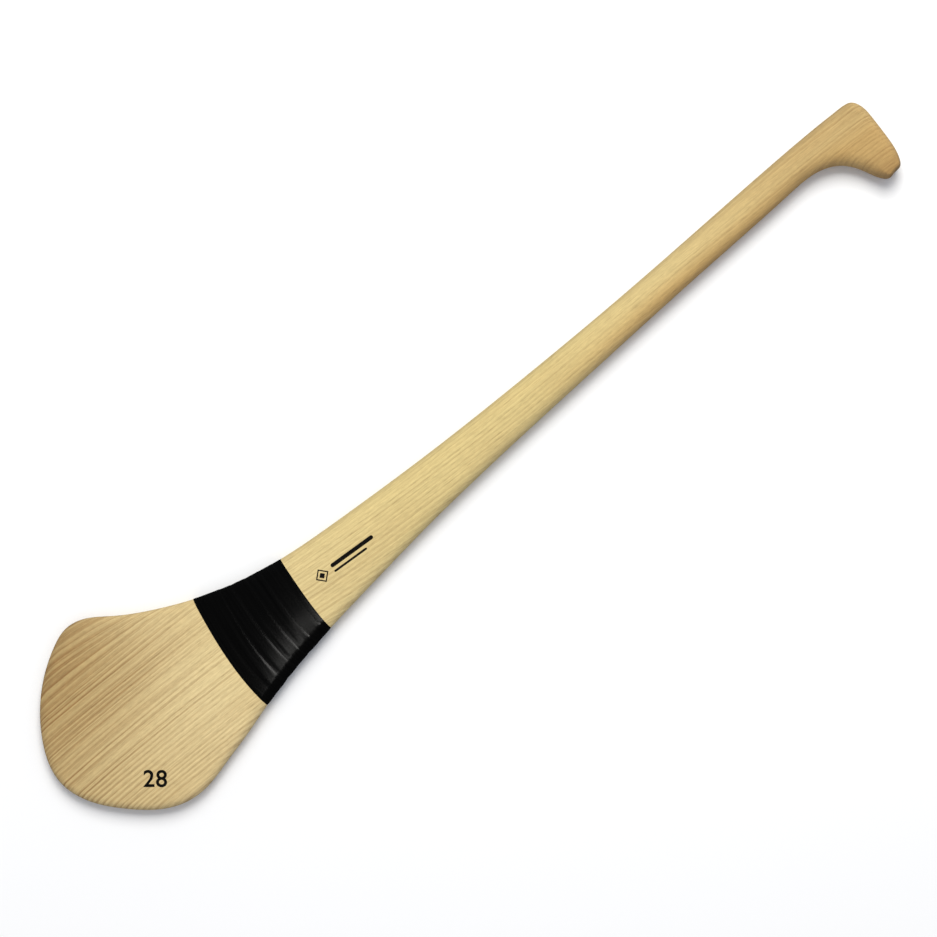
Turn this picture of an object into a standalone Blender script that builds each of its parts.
"""Hurley: the ash stick of the field game of hurling, with a band of black tape round its neck.

Units are metres. The stick lies on its back on the plane Z = 0. +X runs along the shaft, from the toe
of the bas (the broad striking end) to the butt; the hooked heel of the handle points to -Y; +Z comes
out of the front face. The origin lies under the middle of the stick's length and width.

Two pieces make the stick: one sawn and sanded ash plank, and one continuous strip of adhesive tape.
"""

import math

import bmesh
import bpy
import numpy as np

MM = 0.001

# The ash plank: overall length, thickness along it, and how far its rounded edges reach inwards.
LENGTH = 711.2 * MM
BUTT_THICKNESS = 18.5 * MM
NECK_THICKNESS = 16.2 * MM
TOE_THICKNESS = 8.0 * MM
TAPER_START_X = -34.0 * MM
HANDLE_ROUNDING = 9.5 * MM
BAS_ROUNDING = 6.0 * MM
HANDLE_ROUNDING_X = -110.0 * MM
BAS_ROUNDING_X = -300.0 * MM
CORNER_SHARE = 0.8
CORNER_REACH = 14.0 * MM
ROUNDING_STEPS = 5
LONGEST_STEP = 12.0 * MM
LARGEST_TURN = math.radians(14.0)

# The plan of the plank, counter-clockwise in millimetres, as runs of points on one smooth curve.
TOE = [(-355.4, -5), (-347, -30), (-334, -46.4), (-319.5, -60), (-303, -69.3), (-284, -72)]
BAS_HEEL = [(-260, -67.6), (-240, -63.2), (-216, -57)]
LOWER_EDGE = [(-168, -47.9), (-108, -41.4), (-54, -36.6), (0, -33.6), (96, -30.8), (204, -28.6)]
HEEL_HOLLOW = [(280, -27.6), (303, -28.8), (318.5, -36.2), (328, -49.7)]
HEEL_TIP = [(333.4, -60.2), (338, -63.9), (342.5, -63.2), (347, -62.9), (351.4, -57.5)]
BUTT_END = [(354.4, -43), (355.5, -26), (354.4, -13), (351, -7.9)]
UPPER_EDGE = [(343, -6), (322, -5.1), (276, -4.6), (222, -4.9), (150, -5.1), (72, -3.6)]
NECK_EDGE = [(-24, 0.6), (-96, 6.4), (-144, 12.2)]
SHOULDER = [(-192, 24.8), (-228, 41.2), (-256, 58.8), (-271, 69.2), (-284, 72.1), (-299, 67.6)]
BROW = [(-322, 53), (-343.5, 29)]
PLAN = TOE + BAS_HEEL + LOWER_EDGE + HEEL_HOLLOW + HEEL_TIP
PLAN += BUTT_END + UPPER_EDGE + NECK_EDGE + SHOULDER + BROW

# The tape: a strip wound from the handle's side to the bas's side, each turn lapped on the one before.
TAPE_WIDTH = 19.0 * MM
TAPE_THICKNESS = 0.15 * MM
LAYER_GAP = 0.05 * MM
WOOD_GAP = 0.3 * MM
LAP_SLOPE_MARGIN = 1.3
BAND_UPPER_X = (-143.5 * MM, -206.0 * MM)
BAND_LOWER_X = (-148.0 * MM, -215.0 * MM)
UPPER_LEAN = 0.6
LOWER_LEAN = 0.4
WINDING_TURNS = 4.2
EDGE_STATIONS = 5
FACE_STATIONS = 3
STRIP_COLUMNS = 4
START_SHARE = 0.8

ASH_COLOUR = (0.68, 0.52, 0.25, 1.0)
TAPE_COLOUR = (0.012, 0.012, 0.013, 1.0)


def clear_scene():
    """Remove whatever the opened file holds."""
    for obj in list(bpy.data.objects):
        bpy.data.objects.remove(obj, do_unlink=True)


def make_material(name, colour, roughness):
    """Return a Principled material with one colour and roughness."""
    material = bpy.data.materials.new(name)
    material.use_nodes = True
    shader = material.node_tree.nodes["Principled BSDF"]
    shader.inputs["Base Color"].default_value = colour
    shader.inputs["Roughness"].default_value = roughness
    shader.inputs["Metallic"].default_value = 0.0
    material.diffuse_color = colour
    return material


class ClosedSpline:
    """A closed curve through the given points, smooth up to its curvature."""

    def __init__(self, points):
        self.points = np.array(points, dtype=float)
        following = np.roll(self.points, -1, axis=0)
        self.spans = np.linalg.norm(following - self.points, axis=1)
        self.knots = np.concatenate([[0.0], np.cumsum(self.spans)])
        count = len(self.points)
        system = np.zeros((count, count))
        slopes = (following - self.points) / self.spans[:, None]
        for i in range(count):
            before = self.spans[i - 1]
            system[i, i - 1] = before
            system[i, i] = 2.0 * (before + self.spans[i])
            system[i, (i + 1) % count] = self.spans[i]
        self.bends = np.linalg.solve(system, 6.0 * (slopes - np.roll(slopes, 1, axis=0)))

    def at(self, distances):
        """Return the points at these distances along the chain of chords."""
        wrapped = np.mod(distances, self.knots[-1])
        i = np.clip(np.searchsorted(self.knots, wrapped, side="right") - 1, 0, len(self.spans) - 1)
        j = (i + 1) % len(self.points)
        span = self.spans[i][:, None]
        past = (wrapped - self.knots[i])[:, None]
        left = span - past
        curve = (self.bends[i] * left**3 + self.bends[j] * past**3) / (6.0 * span)
        curve += (self.points[i] / span - self.bends[i] * span / 6.0) * left
        curve += (self.points[j] / span - self.bends[j] * span / 6.0) * past
        return curve


def dense_plan():
    """Return the plan as a fine closed polyline, scaled to LENGTH and centred on its own box."""
    spline = ClosedSpline(np.array(PLAN) * MM)
    line = spline.at(np.linspace(0.0, spline.knots[-1], 6000, endpoint=False))
    low = line.min(axis=0)
    high = line.max(axis=0)
    return (line - (low + high) / 2.0) * LENGTH / (high[0] - low[0])


def lengths_and_turns(line):
    """Return each edge's length and how far the closed line turns at each point, in radians."""
    edges = np.roll(line, -1, axis=0) - line
    lengths = np.linalg.norm(edges, axis=1)
    angles = np.arctan2(edges[:, 1], edges[:, 0])
    turns = angles - np.roll(angles, 1)
    turns = (turns + math.pi) % (2.0 * math.pi) - math.pi
    return lengths, turns


def thin_out(line):
    """Keep points of the fine line so that none is further apart, or turns more, than the limits."""
    lengths, turns = lengths_and_turns(line)
    effort = np.concatenate([[0.0], np.cumsum(lengths / LONGEST_STEP + np.abs(turns) / LARGEST_TURN)])
    wanted = np.linspace(0.0, effort[-1], math.ceil(effort[-1]), endpoint=False)
    return np.searchsorted(effort[:-1], wanted)


def inward_normals(line):
    """Return the unit normals of a counter-clockwise closed line, pointing inwards."""
    along = np.roll(line, -1, axis=0) - np.roll(line, 1, axis=0)
    along /= np.linalg.norm(along, axis=1)[:, None]
    return np.stack([-along[:, 1], along[:, 0]], axis=1)


def half_thickness(x):
    """Return half the plank's thickness at x: one even taper along the shaft, a steeper one in the bas."""
    stations = (-LENGTH / 2.0, TAPER_START_X, LENGTH / 2.0)
    return np.interp(x, stations, (TOE_THICKNESS / 2.0, NECK_THICKNESS / 2.0, BUTT_THICKNESS / 2.0))


def rounding_at(x):
    """Return how far the rounded edge reaches inwards at x."""
    return np.interp(x, (BAS_ROUNDING_X, HANDLE_ROUNDING_X), (BAS_ROUNDING, HANDLE_ROUNDING))


def rounding_round_plan(line):
    """Return the edge rounding at every point of the plan, held smaller at the tight corners."""
    lengths, turns = lengths_and_turns(line)
    spread = max(1, round(CORNER_REACH / lengths.mean() / 2.0))
    window = np.arange(-spread, spread + 1)
    tightest = CORNER_SHARE * lengths / np.maximum(turns, 1e-9)
    limit = np.minimum(rounding_at(line[:, 0]), tightest)
    lowest = np.min([np.roll(limit, k) for k in window], axis=0)
    return np.mean([np.roll(lowest, k) for k in window], axis=0)


def make_ash_body(fine_line, material):
    """Loft the front half of the plank from its mid-plane rim to its flat face, then mirror it."""
    kept = thin_out(fine_line)
    rim = fine_line[kept]
    inward = inward_normals(fine_line)[kept]
    rounding = rounding_round_plan(fine_line)[kept][:, None]
    bm = bmesh.new()
    rings = []
    for step in range(ROUNDING_STEPS + 1):
        angle = math.pi / 2.0 * step / ROUNDING_STEPS
        ring = rim + inward * rounding * (1.0 - math.cos(angle))
        rings.append([bm.verts.new((x, y, math.sin(angle))) for x, y in ring])
    for outer, inner in zip(rings, rings[1:]):
        for i in range(len(outer)):
            bm.faces.new((outer[i - 1], outer[i], inner[i], inner[i - 1]))
    bm.faces.new(rings[-1])
    # The two tapers meet in a straight fold, so the flat face is cut there before it is raised.
    everything = bm.verts[:] + bm.edges[:] + bm.faces[:]
    bmesh.ops.bisect_plane(bm, geom=everything, plane_co=(TAPER_START_X, 0, 0), plane_no=(1, 0, 0))
    for vertex in bm.verts:
        vertex.co.z *= half_thickness(vertex.co.x)
    body = new_object("ash_body", bm, material)
    mirror = body.modifiers.new("back_half", "MIRROR")
    mirror.use_axis = (False, False, True)
    mirror.use_clip = True
    mirror.merge_threshold = 0.00001
    return body


def edge_crossings(fine_line, x_ends, upper, shares):
    """Return points on one long edge, and inward normals, at shares of the way between two x values."""
    inward = inward_normals(fine_line)
    on_edge = (inward[:, 1] < 0.0) if upper else (inward[:, 1] > 0.0)
    near = on_edge & (fine_line[:, 0] > x_ends[1] - 0.03) & (fine_line[:, 0] < x_ends[0] + 0.03)
    order = np.argsort(fine_line[near][:, 0])
    edge = fine_line[near][order]
    normals = inward[near][order]
    x = x_ends[0] + (x_ends[1] - x_ends[0]) * shares
    points = np.stack([x, np.interp(x, edge[:, 0], edge[:, 1])], axis=1)
    across = np.stack([np.interp(x, edge[:, 0], normals[:, k]) for k in (0, 1)], axis=1)
    return points, across / np.linalg.norm(across, axis=1)[:, None]


def turn_stations():
    """Return one turn's stations as (side, edge, angle or share), from the upper rim over the front."""
    angles = [math.pi / 2.0 * k / EDGE_STATIONS for k in range(EDGE_STATIONS + 1)]
    shares = [k / (FACE_STATIONS + 1) for k in range(1, FACE_STATIONS + 1)]
    front = [("upper", angle) for angle in angles]
    front += [("face", share) for share in shares]
    front += [("lower", angle) for angle in reversed(angles)]
    back = front[-2:0:-1]
    return [(1.0, *station) for station in front] + [(-1.0, *station) for station in back]


def neck_point(crossing, station):
    """Return a point on the neck's surface and its outward normal, for one crossing and station.

    A crossing runs over the face from one edge to the other. A loose strip would meet both edges
    square, and a taut one would run straight; this one does something between. Its plan is a cubic
    curve whose end tangents lean from the edges' normals towards the straight line.
    """
    (start, start_normal), (end, end_normal) = crossing
    side, place, value = station
    width = np.linalg.norm(end - start)
    rounding = rounding_at((start[0] + end[0]) / 2.0)
    if place == "upper":
        share = rounding * (1.0 - math.cos(value)) / width
    elif place == "lower":
        share = 1.0 - rounding * (1.0 - math.cos(value)) / width
    else:
        share = (rounding + (width - 2.0 * rounding) * value) / width
    straight = (end - start) / width
    leaving = start_normal * (1.0 - UPPER_LEAN) + straight * UPPER_LEAN
    arriving = end_normal * (1.0 - LOWER_LEAN) - straight * LOWER_LEAN
    leaving /= np.linalg.norm(leaving)
    arriving /= np.linalg.norm(arriving)
    handles = [start, start + leaving * width / 3.0, end + arriving * width / 3.0, end]
    rest = 1.0 - share
    weights = (rest**3, 3.0 * rest**2 * share, 3.0 * rest * share**2, share**3)
    plan = sum(weight * handle for weight, handle in zip(weights, handles))
    slopes = (rest**2, 2.0 * rest * share, share**2)
    legs = [after - before for before, after in zip(handles, handles[1:])]
    along = sum(slope * leg for slope, leg in zip(slopes, legs))
    along /= np.linalg.norm(along)
    angle = math.pi / 2.0 if place == "face" else value
    half = half_thickness(plan[0])
    outwards = -along if place != "lower" else along
    normal = np.array([*(outwards * math.cos(angle) / rounding), side * math.sin(angle) / half])
    point = np.array([plan[0], plan[1], side * half * math.sin(angle)])
    return point, normal / np.linalg.norm(normal)


def tape_schedule(stations_per_turn, travel):
    """Return, station by station, how far the strip has moved along the neck and how high it lies.

    The first turn and the last go straight round, which squares off the band's two borders. A turn
    lies tilted, so that it laps on the turn before it with the layer gap in between.
    """
    pitch = travel / WINDING_TURNS
    layer = TAPE_THICKNESS + LAYER_GAP
    slope = LAP_SLOPE_MARGIN * layer / pitch
    moves = []
    lifts = []
    for i in range(round((WINDING_TURNS + 2.0) * stations_per_turn) + 1):
        turns_done = i / stations_per_turn
        moves.append(pitch * min(max(turns_done - 1.0, 0.0), WINDING_TURNS))
        lift = 0.0
        if i >= stations_per_turn:
            below = i - stations_per_turn
            lift = max(0.0, lifts[below] + layer - slope * (moves[i] - moves[below]))
        lifts.append(lift)
    return moves, lifts, slope


def make_neck_tape(fine_line, material):
    """Wind the tape round the neck as one closed strip with squared-off ends."""
    upper, _ = edge_crossings(fine_line, BAND_UPPER_X, True, np.linspace(0.0, 1.0, 50))
    lower, _ = edge_crossings(fine_line, BAND_LOWER_X, False, np.linspace(0.0, 1.0, 50))
    run = [np.linalg.norm(np.diff(edge, axis=0), axis=1).sum() for edge in (upper, lower)]
    band_length = sum(run) / 2.0
    stations = turn_stations()
    moves, lifts, slope = tape_schedule(len(stations), band_length - TAPE_WIDTH)
    first_station = round(START_SHARE * len(stations))
    across = np.linspace(0.0, TAPE_WIDTH, STRIP_COLUMNS)
    bm = bmesh.new()
    sections = []
    for i, (move, lift) in enumerate(zip(moves, lifts)):
        station = stations[(first_station - i) % len(stations)]
        shares = (move + across) / band_length
        starts = edge_crossings(fine_line, BAND_UPPER_X, True, shares)
        ends = edge_crossings(fine_line, BAND_LOWER_X, False, shares)
        under = []
        over = []
        for column, offset in enumerate(across):
            crossing = [(points[column], normals[column]) for points, normals in (starts, ends)]
            point, normal = neck_point(crossing, station)
            height = WOOD_GAP + slope * (TAPE_WIDTH - offset) + lift
            under.append(bm.verts.new(point + normal * height))
            over.append(bm.verts.new(point + normal * (height + TAPE_THICKNESS)))
        sections.append(over + under[::-1])
    for section, following in zip(sections, sections[1:]):
        for k in range(len(section)):
            bm.faces.new((section[k - 1], section[k], following[k], following[k - 1]))
    for section in (sections[0], sections[-1]):
        for k in range(STRIP_COLUMNS - 1):
            bm.faces.new((section[k], section[k + 1], section[-2 - k], section[-1 - k]))
    bmesh.ops.recalc_face_normals(bm, faces=bm.faces[:])
    return new_object("neck_tape", bm, material)


def new_object(name, bm, material):
    """Turn a bmesh into a smooth-shaded object with one material."""
    mesh = bpy.data.meshes.new(name)
    bm.to_mesh(mesh)
    bm.free()
    mesh.materials.append(material)
    mesh.shade_smooth()
    mesh.set_sharp_from_angle(angle=math.radians(35.0))
    return bpy.data.objects.new(name, mesh)


def lay_on_back():
    """Return an empty that tilts the mid-plane, so that the back of the shaft lies on Z = 0."""
    taper = (BUTT_THICKNESS - NECK_THICKNESS) / 2.0 / (LENGTH / 2.0 - TAPER_START_X)
    tilt = math.atan(taper)
    half_at_origin = NECK_THICKNESS / 2.0 - taper * TAPER_START_X
    empty = bpy.data.objects.new("hurley_frame", None)
    empty.rotation_euler = (0.0, -tilt, 0.0)
    empty.location = (0.0, 0.0, half_at_origin * math.cos(tilt))
    return empty


def main():
    """Build the stick's two pieces in one collection."""
    clear_scene()
    collection = bpy.data.collections.new("hurley")
    bpy.context.scene.collection.children.link(collection)
    fine_line = dense_plan()
    frame = lay_on_back()
    pieces = [
        make_ash_body(fine_line, make_material("ash", ASH_COLOUR, 0.45)),
        make_neck_tape(fine_line, make_material("black_tape", TAPE_COLOUR, 0.3)),
    ]
    collection.objects.link(frame)
    for piece in pieces:
        collection.objects.link(piece)
        piece.parent = frame
    bpy.context.view_layer.update()


main()
